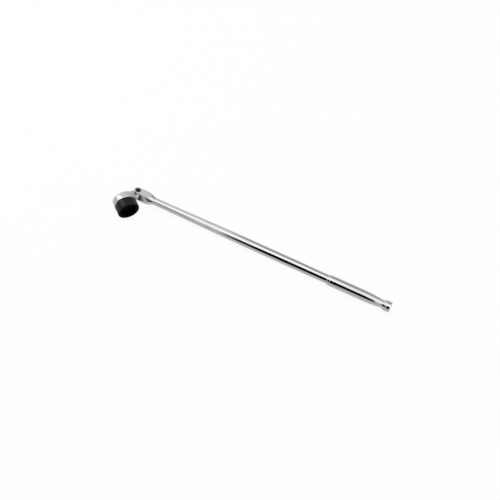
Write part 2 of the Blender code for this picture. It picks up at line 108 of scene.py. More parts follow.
# Screw and washers
BORE_RADIUS = 0.0039
COUNTERBORE_RADIUS = 0.0052
SCREW_RADIUS = 0.0036
SCREW_HEAD_RADIUS = 0.0049
SCREW_HEAD_HEIGHT = 0.0018
SCREW_HEAD_PROUD = 0.0014
SCREW_CROWN = 0.00081
SCREW_END_INSET = 0.0006
HEX_KEY_SIZE = 0.0040
HEX_KEY_DEPTH = 0.0012
SPRING_WASHER_THICKNESS = 0.0007
SPRING_WASHER_SPLIT = 0.0010
SPRING_WASHER_SPLIT_ANGLE = 135.0
FRICTION_WASHER_THICKNESS = 0.0007
FRICTION_WASHER_RADIUS = 0.0063
WASHER_EDGE = 0.00012
SEAT_GAP = 0.0003

# Socket
SOCKET_RADIUS = 0.0219
SOCKET_LENGTH = 0.0180
SOCKET_TOP = -0.0003
SOCKET_EDGE = 0.0010
SQUARE_HOLE = 0.0134
NUT_SIZE = 0.0300
NUT_DEPTH = 0.0085
MOUTH_CHAMFER = 0.0012

# Fineness of the meshes
BAR_FACETS = 160
SMALL_FACETS = 96
CURVE_STEPS = 20
FORK_VOXEL = 0.00028
FORK_SOFTENING = 8
HEAD_VOXEL = 0.00030
HEAD_SOFTENING = 6
SOFTENING_FACTOR = 0.5
OVERRUN = 0.004
BEVEL_ANGLE = 40.0
MACHINED_ANGLE = 35.0
FORGED_ANGLE = 50.0
LATHE_WELD = 0.000005
OUTLINE_WELD = 0.000001

# Photograph: where the pivot lies in it, its scale there, and the angle at which the bar falls
FRAME_PIXELS = 500
PIVOT_PIXEL = (137.35, 193.5)
PIXELS_PER_METRE = 508.0
BAR_FALL = 24.22
VIEW_AZIMUTH = 13.0
VIEW_ELEVATION = 70.0
LENS = 120.0
SENSOR = 36.0

# Room: (angle from straight up in degrees, positive towards the back; level of light there), and
# how much weaker its light is on matt surfaces
ROOM_STRENGTH = 2.5
MATT_LOSS = 1.3
ROOM_LEVELS = (
    (-92, 0.75), (-74, 0.75), (-46, 1.20), (-24, 1.45), (-10, 2.10), (8, 2.25),
    (30, 1.55), (46, 1.25), (64, 1.15), (80, 1.00), (92, 1.00),
)

# Cards that the chrome mirrors: (distance to the right of the pivot; upper and lower edge in
# degrees from straight up, positive towards the front), and how light each card is
CARD_DISTANCE = 1.4
CARD_FADE = 0.05
FRONT_CARD = (
    (0.01, 33, 77), (0.12, 26, 76), (0.22, 15, 78), (0.34, 14, 75),
    (0.40, 15, 66), (0.56, 15, 66), (0.78, 24, 64),
)
LEFT_CARD = ((-0.34, 24, 70), (-0.05, 24, 70))
FAR_LEFT_CARD = ((-2.40, 16, 74), (-0.34, 18, 74))
GRIP_CARD = ((0.36, -3, -13), (0.95, -3, -12))
BACK_CARD = ((0.06, -46, -84), (0.20, -44, -84), (0.80, -44, -84))
BLACK_CARD_LEVEL = 0.004
LEFT_CARD_LEVEL = 0.70
BACK_CARD_LEVEL = 0.55
GRIP_CARD_LEVEL = 1.45

# Lamps and bench: the left lamp's place is from the pivot
OVERHEAD_PLACE = (-0.2, 0.5, 1.8)
OVERHEAD_SIZE = (1.6, 1.2)
OVERHEAD_POWER = 6.0
LEFT_LAMP_PLACE = (-1.26, 0.20, 0.80)
LEFT_LAMP_SIZE = (0.20, 0.20)
LEFT_LAMP_POWER = 3.0
BENCH_SIDE = 12.0
BENCH_THICKNESS = 0.02
BENCH_GLOW = 0.92
BENCH_PAPER_SCALE = 900.0

# Colours
CHROMIUM = (0.45, 0.452, 0.454, 1.0)
CHROMIUM_FILM = (0.39, 0.392, 0.394, 1.0)
# Dark colour painted into the fork's slot as shade
SLOT_PAINTED_SHADE = (0.022, 0.022, 0.023, 1.0)
# Paler black for mottled oil, and at the socket's rims for wear and a painted highlight
BLACK_OXIDE = (0.0045, 0.0045, 0.0048, 1.0)
BLACK_OXIDE_PALE = (0.020, 0.020, 0.021, 1.0)
# Near-black painted as shade into the socket's inside and onto the square drive
PAINTED_SHADE_BLACK = (0.0008, 0.0008, 0.0008, 1.0)
PAINTED_SHADE_BLACK_PALE = (0.0025, 0.0025, 0.0026, 1.0)
BENCH_PAPER = (0.92, 0.92, 0.92, 1.0)
BENCH_PAPER_PALE = (0.96, 0.96, 0.96, 1.0)
SPRING_STEEL = (0.50, 0.50, 0.51, 1.0)
SPRING_STEEL_DULL = (0.36, 0.36, 0.37, 1.0)
# Bronze darkened well below bare bronze, as painted shade for the washers in the gap at the tongue
BRONZE = (0.16, 0.10, 0.05, 1.0)
BRONZE_DULL = (0.05, 0.035, 0.02, 1.0)

# Chrome plate: noise scales, the levels between which a mark shows, and what each mark adds
CHROME_ROUGHNESS = 0.055
BAR_POLISHING = (2200.0, 60.0, 60.0)
HEAD_POLISHING = (60.0, 2200.0, 60.0)
POLISHING_ROUGHNESS = 0.03
POLISHING_BUMP = 0.06
POLISHING_DEPTH = 0.00002
FILM_SCALE = 55.0
FILM_LEVELS = (0.46, 0.70)
FILM_TINT = 0.45
FILM_ROUGHNESS = 0.05
HAIRLINE_STRETCH = (30.0, 2600.0, 2600.0)
HAIRLINE_LEVELS = (0.70, 0.78)
HAIRLINE_TINT = 0.25
HAIRLINE_ROUGHNESS = 0.10

# Inside of the fork's slot: dull, with painted shade, from a small depth below each outside face;
# polished and lit, without the painted shade, where the ramp runs out
SLOT_SHADE_NOISE_SCALE = 700.0
SLOT_SHADE_NOISE_SHARE = 0.20
SLOT_ROUGHNESS = 0.30
SLOT_SIDE_DEPTHS = (0.0014, 0.0004)
SLOT_WALL_FADE = 0.0006
SLOT_END_FADE = 0.0008
SHOULDER_DEPTHS = (0.0004, 0.0012)
RAMP_HEIGHTS = (0.0005, 0.0014)
RAMP_LIT_POLISH_DEPTHS = (0.0075, 0.0025)
RAMP_LIT_POLISH_LOSS = 0.60
RAMP_LIT_POLISH_BEFORE_POCKET_END = 0.006
RAMP_LIT_POLISH_AFTER_POCKET_END = 0.010

# Black oxide: the rims are heights above the socket's mouth, paler there as wear and painted
# highlight
OXIDE_ROUGHNESS = 0.28
GRAIN_SCALE = 5200.0
GRAIN_ROUGHNESS = 0.06
GRAIN_BUMP = 0.20
GRAIN_DEPTH = 0.00003
MOTTLE_SCALE = 210.0
MOTTLE_LEVELS = (0.35, 0.75)
MOTTLE_TINT = 0.10
MOTTLE_ROUGHNESS = 0.08
SCUFF_AND_SHEEN_SCALE = 900.0
SCUFF_AND_SHEEN_LEVELS = (0.48, 0.66)
SCUFF_AND_SHEEN_SHARE = 0.65
SOCKET_GLOSS = 0.13
MOUTH_GLOSS = 0.02
SCREW_GLOSS = 0.22
MOUTH_RIM = (0.0, 0.0004)
OUTER_RIM = (0.0004, 0.0012)

# Bare steel and bronze
STEEL_ROUGHNESS = 0.20
BRONZE_ROUGHNESS = 0.28
PATCH_SCALE = 420.0
PATCH_LEVELS = (0.40, 0.70)
PATCH_ROUGHNESS = 0.12
TURNING_STRETCH = (900.0, 900.0, 6000.0)
TURNING_ROUGHNESS = 0.08
TURNING_BUMP = 0.10
TURNING_DEPTH = 0.00002


class Signal:
    """One output of a finish's nodes; Python's operators on it add Math nodes."""

    def __init__(self, finish, output):
        self.finish = finish
        self.output = output

    def maths(self, operation, other=0.0, reflected=False):
        first, second = (other, self) if reflected else (self, other)
        return self.finish.node("Math", {"operation": operation}, {0: first, 1: second})

    def __add__(self, other):
        return self.maths("ADD", other)

    def __sub__(self, other):
        return self.maths("SUBTRACT", other)

    def __rsub__(self, other):
        return self.maths("SUBTRACT", other, reflected=True)

    def __mul__(self, other):
        return self.maths("MULTIPLY", other)

    def __abs__(self):
        return self.maths("ABSOLUTE")

    __radd__ = __add__
    __rmul__ = __mul__


class Finish:
    """A node tree that is put together node by node, in the frame of the piece that it covers."""

    def __init__(self, tree, own_frame=None):
        self.tree = tree
        self.own_frame = own_frame or Matrix.Identity(4)
        tree.nodes.clear()

    def node(self, kind, settings=None, sockets=None, output=0):
        """Add a node: its settings first, then the values or links of its sockets."""
        added = self.tree.nodes.new("ShaderNode" + kind)
        for name, value in (settings or {}).items():
            if name == "stops":
                set_stops(added.color_ramp, value)
            else:
                setattr(added, name, value)
        for name, value in (sockets or {}).items():
            if isinstance(value, Signal):
                self.tree.links.new(value.output, added.inputs[name])
            else:
                added.inputs[name].default_value = value
        return Signal(self, added.outputs[output]) if added.outputs else None

    def place(self):
        """Where a point lies in the piece's own frame, in metres."""
        sockets = {
            "Vector": self.node("TexCoord", output="Object"),
            "Location": self.own_frame.translation,
            "Rotation": self.own_frame.to_euler(),
        }
        return self.node("Mapping", {"vector_type": "TEXTURE"}, sockets)

    def stretched(self, scale):
        sockets = {"Vector": self.place(), "Scale": scale}
        return self.node("Mapping", {"vector_type": "POINT"}, sockets)

    def along(self, axis):
        """Distance along one axis of the piece's own frame."""
        return self.node("SeparateXYZ", {}, {"Vector": self.place()}, output=axis)

    def noise(self, vector, scale=1.0, detail=2.0, roughness=0.5):
        sockets = {"Vector": vector, "Scale": scale, "Detail": detail, "Roughness": roughness}
        return self.node("TexNoise", {"noise_dimensions": "3D"}, sockets)

    def between(self, value, low, high, new_low=0.0, new_high=1.0):
        """Bring a value from one range smoothly into another."""
        sockets = {
            "Value": value,
            "From Min": low,
            "From Max": high,
            "To Min": new_low,
            "To Max": new_high,
        }
        return self.node("MapRange", {"interpolation_type": "SMOOTHSTEP", "clamp": True}, sockets)

    def blend(self, share, first, second):
        """Mix two colours."""
        settings = {"data_type": "RGBA", "blend_type": "MIX"}
        return self.node("Mix", settings, {0: share, 6: first, 7: second}, output=2)

    def relief(self, height, strength, distance):
        sockets = {"Height": height, "Strength": strength, "Distance": distance}
        return self.node("Bump", {}, sockets)

    def surface(self, shader, kind="OutputMaterial"):
        self.node(kind, {}, {"Surface": shader})


def set_stops(ramp, stops):
    """Give a colour ramp its grey stops, as (position, level) pairs."""
    while len(ramp.elements) < len(stops):
        ramp.elements.new(1.0)
    for element, (position, level) in zip(ramp.elements, stops):
        element.position = position
        element.color = (level, level, level, 1.0)


def new_finish(name, own_frame=None):
    material = bpy.data.materials.new(name)
    material.use_nodes = True
    return material, Finish(material.node_tree, own_frame)


def chrome_plate(name, own_frame, polishing, shaded_and_unpolished=None):
    """Bright plating with polishing lines, hairlines and a handled film; dull, with painted shade,
    in a mask.
    """
    material, finish = new_finish(name, own_frame)
    film = finish.between(finish.noise(finish.place(), FILM_SCALE, detail=3.0), *FILM_LEVELS)
    lines = finish.noise(finish.stretched(polishing), detail=3.0, roughness=0.6)
    scratches = finish.noise(finish.stretched(HAIRLINE_STRETCH), detail=1.0)
    hairlines = finish.between(scratches, *HAIRLINE_LEVELS)
    colour = finish.blend(film * FILM_TINT + hairlines * HAIRLINE_TINT, CHROMIUM, CHROMIUM_FILM)
    roughness = CHROME_ROUGHNESS + film * FILM_ROUGHNESS + lines * POLISHING_ROUGHNESS
    roughness = roughness + hairlines * HAIRLINE_ROUGHNESS
    # Painted shade: where a mask is given, the colour darkens towards the slot's painted shade and
    # the plating dulls
    if shaded_and_unpolished:
        dull = shaded_and_unpolished(finish)
        shade_noise = finish.noise(finish.place(), SLOT_SHADE_NOISE_SCALE, detail=3.0, roughness=0.6)
        painted_slot_shade = dull * (1.0 - SLOT_SHADE_NOISE_SHARE + shade_noise * SLOT_SHADE_NOISE_SHARE)
        colour = finish.blend(painted_slot_shade, colour, SLOT_PAINTED_SHADE)
        roughness = roughness + dull * SLOT_ROUGHNESS
    shader = finish.node("BsdfPrincipled", {}, {
        "Base Color": colour,
        "Metallic": 1.0,
        "Roughness": roughness,
        "Normal": finish.relief(lines, POLISHING_BUMP, POLISHING_DEPTH),
    })
    finish.surface(shader)
    return material


def inside_fork_slot(finish):
    """1 on the dull walls of the fork's slot, which carry painted shade; 0 on its lit, polished
    ramp and on the fork's outside.
    """
    x, y, z = (finish.along(axis) for axis in "XYZ")
    side = FORK_WIDTH / 2
    ear = SLOT_WIDTH / 2
    corner, fall = fork_corner()
    dull_shaded_depth, bright_depth = SLOT_SIDE_DEPTHS
    # The painted shade deepens inwards from each outside face and stops under the shoulders
    between_sides = finish.between(abs(y), side - dull_shaded_depth, side - bright_depth, 1.0, 0.0)
    between_ears = finish.between(abs(z), ear, ear + SLOT_WALL_FADE, 1.0, 0.0)
    before_end = finish.between(x, SLIT_LENGTH, SLIT_LENGTH + SLOT_END_FADE, 1.0, 0.0)
    squares = y * y + z * z
    below_shoulder = corner - (x - FORK_FLAT_LENGTH) * fall - squares.maths("SQRT")
    under_shoulder = finish.between(below_shoulder, *SHOULDER_DEPTHS)
    inside = between_sides * between_ears * before_end * under_shoulder
    return inside * (1.0 - lit_polished_ramp(finish))


def lit_polished_ramp(finish):
    """1 near the edges of the slot's ramp, polished and lit without painted shade, fading towards
    the pocket and into the slit's end.
    """
    x, y, z = (finish.along(axis) for axis in "XYZ")
    side = FORK_WIDTH / 2
    ear = SLOT_WIDTH / 2
    rise = (SLIT_END_HEIGHT - SLIT_END_RADIUS + ear) / (SLIT_LENGTH - POCKET_LENGTH)
    above_ramp = z + ear - (x - POCKET_LENGTH) * rise
    on_ramp = finish.between(above_ramp, *RAMP_HEIGHTS, 1.0, 0.0)
    from_middle = abs(y) - (x - SLIT_BEND) * RAMP_LIT_POLISH_LOSS
    dull_shaded_depth, bright_depth = RAMP_LIT_POLISH_DEPTHS
    near_edge = finish.between(from_middle, side - dull_shaded_depth, side - bright_depth)
    start = POCKET_LENGTH - RAMP_LIT_POLISH_BEFORE_POCKET_END
    end = POCKET_LENGTH + RAMP_LIT_POLISH_AFTER_POCKET_END
    return on_ramp * near_edge * finish.between(x, start, end)


def black_oxide(name, own_frame, black, pale, gloss, rim=None):
    """Satin black with a bead-blasted grain and mottled oil, paler at a rim as wear and painted
    highlight.
    """
    material, finish = new_finish(name, own_frame)
    grain = finish.noise(finish.place(), GRAIN_SCALE, detail=2.0, roughness=0.6)
    oil = finish.noise(finish.place(), MOTTLE_SCALE, detail=4.0, roughness=0.6)
    mottle = finish.between(oil, *MOTTLE_LEVELS)
    wear_and_sheen = mottle * MOTTLE_TINT
    # At a rim the black is painted paler: rubbed wear, and a painted highlight on the rounded edge
    if rim:
        low, high = (SOCKET_TOP - SOCKET_LENGTH + height for height in rim)
        at_rim = finish.between(finish.along("Z"), low, high, 1.0, 0.0)
        rim_noise = finish.noise(finish.place(), SCUFF_AND_SHEEN_SCALE, detail=3.0, roughness=0.7)
        scuffs_and_sheen = finish.between(rim_noise, *SCUFF_AND_SHEEN_LEVELS)
        wear_and_sheen = wear_and_sheen + at_rim * (1.0 - SCUFF_AND_SHEEN_SHARE + scuffs_and_sheen * SCUFF_AND_SHEEN_SHARE)
    shader = finish.node("BsdfPrincipled", {}, {
        "Base Color": finish.blend(wear_and_sheen, black, pale),
        "Metallic": 0.0,
        "Roughness": OXIDE_ROUGHNESS + mottle * MOTTLE_ROUGHNESS + grain * GRAIN_ROUGHNESS,
        "Normal": finish.relief(grain, GRAIN_BUMP, GRAIN_DEPTH),
        "Specular IOR Level": gloss,
    })
    finish.surface(shader)
    return material


def plain_metal(name, own_frame, bright, dull, base_roughness):
    """Bare metal of a small hidden piece, with fine turning marks and dull oily patches."""
    material, finish = new_finish(name, own_frame)
    patches = finish.between(finish.noise(finish.place(), PATCH_SCALE, detail=3.0), *PATCH_LEVELS)
    marks = finish.noise(finish.stretched(TURNING_STRETCH), detail=2.0)
    shader = finish.node("BsdfPrincipled", {}, {
        "Base Color": finish.blend(patches, bright, dull),
        "Metallic": 1.0,
        "Roughness": base_roughness + patches * PATCH_ROUGHNESS + marks * TURNING_ROUGHNESS,
        "Normal": finish.relief(marks, TURNING_BUMP, TURNING_DEPTH),
    })
    finish.surface(shader)
    return material


def show(name, mesh):
    """Put a mesh in the scene as an object."""
    item = bpy.data.objects.new(name, mesh)
    bpy.context.scene.collection.objects.link(item)
    return item


def show_shape(name, shape):
    """Put a form in the scene, and let go of its working copy."""
    mesh = bpy.data.meshes.new(name)
    shape.to_mesh(mesh)
    shape.free()
    return show(name, mesh)


def plain_mesh(item):
    """The mesh that an object shows, with its modifiers or its curve worked out."""
    bpy.context.view_layer.update()
    depsgraph = bpy.context.evaluated_depsgraph_get()
    return bpy.data.meshes.new_from_object(item.evaluated_get(depsgraph))


def settle(item):
    """Turn an object's modifiers into plain mesh."""
    mesh = plain_mesh(item)
    item.modifiers.clear()
    item.data = mesh
    return item


def combine(item, other, operation):
    """Join another form on, or cut it away, and drop it."""
    modifier = item.modifiers.new(operation.lower(), "BOOLEAN")
    modifier.operation = operation
    modifier.object = other
    modifier.solver = "EXACT"
    settle(item)
    bpy.data.objects.remove(other, do_unlink=True)
    return item


def forge(item, voxel, passes):
    """Even out a form into fine facets and soften its edges, as forging and polishing do."""
    remesh = item.modifiers.new("even_facets", "REMESH")
    remesh.mode = "VOXEL"
    remesh.voxel_size = voxel
    soften = item.modifiers.new("softened_edges", "SMOOTH")
    soften.factor = SOFTENING_FACTOR
    soften.iterations = passes
    settle(item)
    item.data.shade_smooth()
    return item


def soften_edges(item, width, segments):
    rounded = item.modifiers.new("rounded_edges", "BEVEL")
    rounded.width = width
    rounded.segments = segments
    rounded.limit_method = "ANGLE"
    rounded.angle_limit = math.radians(BEVEL_ANGLE)
    return settle(item)


def crisp(item, angle=MACHINED_ANGLE):
    """Smooth shading that keeps the machined edges sharp."""
    item.data.shade_smooth()
    item.data.set_sharp_from_angle(angle=math.radians(angle))
    return item


def turned(name, profile, facets):
    """Turn a profile of (radius, height) points, listed from the top down, about its own Z axis."""
    mesh = bpy.data.meshes.new(name)
    edges = [(index, index + 1) for index in range(len(profile) - 1)]
    mesh.from_pydata([(radius, 0.0, height) for radius, height in profile], edges, [])
    item = show(name, mesh)
    lathe = item.modifiers.new("lathe", "SCREW")
    lathe.steps = facets
    lathe.render_steps = facets
    lathe.use_merge_vertices = True
    lathe.merge_threshold = LATHE_WELD
    return crisp(settle(item))


def rod(name, radius, low, high, facets):
    return turned(name, [(0.0, high), (radius, high), (radius, low), (0.0, low)], facets)


def ring(name, inner, outer, low, high):
    """A turned washer with its edges broken."""
    edge = WASHER_EDGE
    profile = [
        (outer - edge, high), (outer, high - edge), (outer, low + edge), (outer - edge, low),
        (inner + edge, low), (inner, low + edge), (inner, high - edge), (inner + edge, high),
        (outer - edge, high),
    ]
    return turned(name, profile, SMALL_FACETS)


def block(name, size, centre):
    shape = bmesh.new()
    bmesh.ops.create_cube(shape, size=1.0)
    bmesh.ops.scale(shape, vec=Vector(size), verts=shape.verts)
    bmesh.ops.translate(shape, vec=Vector(centre), verts=shape.verts)
    return show_shape(name, shape)


def hexagon_corner(across_flats):
    """How far a hexagon's corners lie from its middle."""
    return across_flats / 2 / math.cos(math.pi / 6)


def hexagon(name, across_flats, low, high):
    """A six-sided prism along its own Z axis."""
    shape = bmesh.new()
    corner = hexagon_corner(across_flats)
    bmesh.ops.create_cone(
        shape, cap_ends=True, segments=6, radius1=corner, radius2=corner, depth=high - low)
    bmesh.ops.translate(shape, vec=(0, 0, (low + high) / 2), verts=shape.verts)
    return show_shape(name, shape)


def plate(name, outline, half_thickness):
    """A flat outline with a thickness along its own Z axis."""
    curve = bpy.data.curves.new(name, "CURVE")
    curve.dimensions = "2D"
    curve.fill_mode = "BOTH"
    curve.extrude = half_thickness
    spline = curve.splines.new("POLY")
    spline.points.add(len(outline) - 1)
    for point, (x, y) in zip(spline.points, outline):
        point.co = (x, y, 0.0, 1.0)
    spline.use_cyclic_u = True
    source = show(name + "_curve", curve)
    shape = bmesh.new()
    shape.from_mesh(plain_mesh(source))
    bpy.data.objects.remove(source, do_unlink=True)
    bmesh.ops.remove_doubles(shape, verts=shape.verts, dist=OUTLINE_WELD)
    bmesh.ops.recalc_face_normals(shape, faces=shape.faces)
    return show_shape(name, shape)


def turn(item, angle, axis):
    """Turn a form's mesh about one of its own axes, in degrees, and leave its object unturned."""
    item.data.transform(Matrix.Rotation(math.radians(angle), 4, axis))
    return item


def shift(item, offset):
    item.data.transform(Matrix.Translation(Vector(offset)))
    return item


def arc(centre, radius, start, end, steps):
    """Points round an arc, the angles in degrees."""
    points = []
    for step in range(steps + 1):
        angle = math.radians(start + (end - start) * step / steps)
        points.append((centre[0] + radius * math.cos(angle), centre[1] + radius * math.sin(angle)))
    return points


def smoothed(share):
    """A share from 0 to 1 that starts and ends gently."""
    return share * share * (3 - 2 * share)


def eased(start_radius, end_radius, start, end):
    """A smooth S-shaped run between two radii along the bar."""
    points = []
    for step in range(CURVE_STEPS + 1):
        share = step / CURVE_STEPS
        radius = start_radius + (end_radius - start_radius) * smoothed(share)
        points.append((radius, start + (end - start) * share))
    return points


def knob_groove(middle):
    """The rounded groove round the knob, from its far side to its near side."""
    points = []
    for step in range(CURVE_STEPS + 1):
        share = step / CURVE_STEPS
        depth = KNOB_GROOVE_DEPTH * math.sin(math.pi * share) ** KNOB_GROOVE_POWER
        points.append((KNOB_RADIUS - depth, middle + KNOB_GROOVE_WIDTH * (0.5 - share)))
    return points


def grip_taper(waist):
    """The grip narrowing faster and faster towards the waist, listed from the waist back."""
    points = []
    for step in range(1, CURVE_STEPS + 1):
        share = 1 - step / CURVE_STEPS
        radius = GRIP_RADIUS - (GRIP_RADIUS - WAIST_RADIUS) * share ** GRIP_TAPER_POWER
        points.append((radius, waist - GRIP_TAPER_LENGTH * (1 - share)))
    return points


def grip_and_shank():
    """Outline of the turned bar as (radius, distance from the pivot), from the knob's end back."""
    rim_start = BAR_LENGTH - KNOB_RIM_LENGTH
    knob_start = BAR_LENGTH - KNOB_LENGTH
    grip_start = BAR_LENGTH - GRIP_LENGTH
    end_round = (KNOB_RADIUS - KNOB_ROUND, BAR_LENGTH - KNOB_ROUND)
    profile = [(0.0, BAR_LENGTH)]
    profile += arc(end_round, KNOB_ROUND, 90, 0, CURVE_STEPS)
    profile += knob_groove(rim_start - KNOB_GROOVE_WIDTH / 2)
    profile += eased(KNOB_RADIUS, WAIST_RADIUS, knob_start + KNOB_FLARE_LENGTH, knob_start)
    profile += grip_taper(knob_start)
    profile += eased(GRIP_RADIUS, SHANK_RADIUS_AT_GRIP, grip_start + GRIP_STEP_LENGTH, grip_start)
    full_end = FORK_LENGTH + SHANK_SWELL_LENGTH + SHANK_FULL_LENGTH
    profile += [(SHANK_RADIUS, full_end)]
    return profile


def swell():
    """The shank's slow taper from its full thickness down to the fork."""
    return eased(SHANK_RADIUS, SHANK_RADIUS_AT_FORK, FORK_LENGTH + SHANK_SWELL_LENGTH, FORK_LENGTH)


def fork_corner():
    """How far the fork's corners stand from the bar's axis, and how steeply its shoulders fall."""
    corner = math.hypot(FORK_WIDTH, FORK_THICKNESS) / 2
    return corner, (corner - SHANK_RADIUS_AT_FORK + SEAT_GAP) / (FORK_LENGTH - FORK_FLAT_LENGTH)


def fork_shoulders():
    """Turned form that rounds the fork's shoulders down to the shank."""
    corner = fork_corner()[0]
    shank = SHANK_RADIUS_AT_FORK - SEAT_GAP
    profile = [(0.0, FORK_LENGTH), (shank, FORK_LENGTH), (corner, FORK_FLAT_LENGTH)]
    profile += [(corner, -FORK_WIDTH), (0.0, -FORK_WIDTH)]
    return turn(turned("fork_shoulders", profile, SMALL_FACETS), 90, "Y")


def forged_fork():
    """The fork's forging, with its slot and the screw's bore, and a stub of the shank behind it."""
    half = FORK_WIDTH / 2
    plan = arc((0, 0), half, 90, 270, 2 * CURVE_STEPS) + [(FORK_LENGTH, -half), (FORK_LENGTH, half)]
    fork = soften_edges(plate("fork", plan, FORK_THICKNESS / 2), FORK_EDGE, segments=3)
    combine(fork, fork_shoulders(), "INTERSECT")
    stub_end = SHANK_START + OVERRUN
    stub = [point for point in swell() if point[1] < stub_end]
    stub = [(0.0, stub_end), (stub[0][0], stub_end)] + stub
    stub += [(SHANK_RADIUS_AT_FORK, FORK_FLAT_LENGTH), (0.0, FORK_FLAT_LENGTH)]
    combine(fork, turn(turned("fork_stub", stub, SMALL_FACETS), 90, "Y"), "UNION")
    combine(fork, fork_slot(), "DIFFERENCE")
    combine(fork, turned("fork_bore", stepped_bore(), SMALL_FACETS), "DIFFERENCE")
    return forge(fork, FORK_VOXEL, FORK_SOFTENING)


def fork_slot():
    """The cut between the ears: a pocket for the tongue, and a slit on under the upper ear."""
    wide = SLOT_WIDTH / 2
    front = -FORK_WIDTH / 2 - OVERRUN
    end = (SLIT_LENGTH - SLIT_END_RADIUS, SLIT_END_HEIGHT)
    ramp = math.degrees(math.atan2(end[1] + wide, end[0] - POCKET_LENGTH))
    fall = math.degrees(math.atan2(wide - end[1], end[0] - SLIT_BEND))
    side = [(SLIT_BEND, wide), (front, wide), (front, -wide), (POCKET_LENGTH, -wide)]
    side += arc(end, SLIT_END_RADIUS, ramp - 90, 90 - fall, CURVE_STEPS)
    return turn(plate("fork_slot", side, FORK_WIDTH / 2 + OVERRUN), 90, "X")


def stepped_bore():
    """Profile of the screw's bore, with the counterbore for its head."""
    outside = FORK_THICKNESS / 2
    floor = outside + SCREW_HEAD_PROUD - SCREW_HEAD_HEIGHT - SPRING_WASHER_THICKNESS - 2 * SEAT_GAP
    return [
        (0.0, outside + OVERRUN),
        (COUNTERBORE_RADIUS, outside + OVERRUN),
        (COUNTERBORE_RADIUS, floor),
        (BORE_RADIUS, floor),
        (BORE_RADIUS, -outside - OVERRUN),
        (0.0, -outside - OVERRUN),
    ]


def chromed_bar():
    """The whole bar: the forged fork bridged to the turned shank, grip and knob."""
    fork = forged_fork()
    profile = grip_and_shank() + [point for point in swell() if point[1] > SHANK_START]
    shank = turn(turned("shank", profile + [shank_start_point()], BAR_FACETS), 90, "Y")
    shape = bmesh.new()
    shape.from_mesh(fork.data)
    bmesh.ops.bisect_plane(
        shape, geom=shape.verts[:] + shape.edges[:] + shape.faces[:],
        plane_co=(FORK_CUT_OFF, 0, 0), plane_no=(1, 0, 0), clear_outer=True)
    shape.from_mesh(shank.data)
    open_edges = [edge for edge in shape.edges if edge.is_boundary]
    bmesh.ops.bridge_loops(shape, edges=open_edges)
    bmesh.ops.recalc_face_normals(shape, faces=shape.faces)
    for form in (fork, shank):
        bpy.data.objects.remove(form, do_unlink=True)
    return crisp(show_shape("chromed_bar", shape), FORGED_ANGLE)


def shank_start_point():
    """Where the turned shank begins, behind the fork."""
    share = smoothed((SHANK_START - FORK_LENGTH) / SHANK_SWELL_LENGTH)
    return (SHANK_RADIUS_AT_FORK + (SHANK_RADIUS - SHANK_RADIUS_AT_FORK) * share, SHANK_START)


def neck():
    """The neck: it spreads to the disc's rim, falls to the disc's back and clears the ears."""
    half = NECK_WIDTH / 2
    rim = DISC_RADIUS - DISC_EDGE
    tangent = math.acos(rim / math.hypot(HEAD_REACH, half)) + math.atan2(half, HEAD_REACH)
    touch = (-HEAD_REACH + rim * math.cos(tangent), rim * math.sin(tangent))
    plan = [(0.0, half), touch, (-HEAD_REACH, 0.0), (touch[0], -touch[1]), (0.0, -half)]
    front = -FORK_WIDTH / 2 - NECK_CLEARANCE
    disc_top = -HEAD_DROP + DISC_THICKNESS - SEAT_GAP
    disc_bottom = -HEAD_DROP + DISC_EDGE
    past_centre = -HEAD_REACH - DISC_EDGE
    side = [
        (front, NECK_TOP),
        (-NECK_TOP_LENGTH, disc_top),
        (past_centre, disc_top),
        (past_centre, disc_bottom),
        (-HEAD_REACH + DISC_RADIUS - DISC_EDGE, disc_bottom),
        (front, -TONGUE_RADIUS),
    ]
    form = turn(plate("neck", plan, 2 * HEAD_DROP), 90, "X")
    combine(form, plate("neck_side", side, 2 * DISC_RADIUS), "INTERSECT")
    soften_edges(form, NECK_EDGE, segments=4)
    hollow = rod("neck_hollow", NECK_SHOULDER, -2 * DISC_RADIUS, 2 * DISC_RADIUS, BAR_FACETS)
    return combine(form, hollow, "DIFFERENCE")


def tongue():
    """The flat tongue that sits between the ears, with a root inside the neck."""
    root = [
        (-NECK_SHOULDER, NECK_TOP - SEAT_GAP),
        (-NECK_SHOULDER - OVERRUN / 2, 0.0),
        (-NECK_SHOULDER, -TONGUE_RADIUS + SEAT_GAP),
    ]
    outline = root + arc((0, 0), TONGUE_RADIUS, -TONGUE_ROUND, TONGUE_ROUND, 3 * CURVE_STEPS)
    return plate("tongue", outline, TONGUE_THICKNESS / 2)


def drive_square():
    """The square drive with the hole for its ball, standing on the drive's own Z axis."""
    low = -SQUARE_LENGTH
    high = OVERRUN / 2
    size = (SQUARE_SIDE, SQUARE_SIDE, high - low)
    square = block("drive_square", size, (0, 0, (low + high) / 2))
    soften_edges(square, SQUARE_EDGE, segments=4)
    hole_end = -SQUARE_SIDE / 2 + OVERRUN / 4
    hole = rod("ball_hole", BALL_HOLE_RADIUS, hole_end, SQUARE_SIDE, SMALL_FACETS)
    shift(turn(hole, 90, "Y"), (0, 0, low + BALL_FROM_SQUARE_END))
    return combine(square, hole, "DIFFERENCE")


def crowned_disc():
    """The disc's profile, back first: rounded rims, and a side that swells towards the socket."""
    edge = DISC_EDGE
    back = DISC_THICKNESS - edge
    profile = [(0.0, DISC_THICKNESS)]
    profile += arc((DISC_RADIUS - DISC_CROWN - edge, back), edge, 90, 0, CURVE_STEPS)
    for step in range(1, CURVE_STEPS):
        height = back + (DISC_FULL_HEIGHT - back) * step / CURVE_STEPS
        share = (height - DISC_FULL_HEIGHT) / (back - DISC_FULL_HEIGHT)
        profile.append((DISC_RADIUS - DISC_CROWN * share * share, height))
    profile += [(DISC_RADIUS, DISC_FULL_HEIGHT)]
    profile += arc((DISC_RADIUS - edge, edge), edge, 0, -90, CURVE_STEPS)
    return profile + [(0.0, 0.0)]


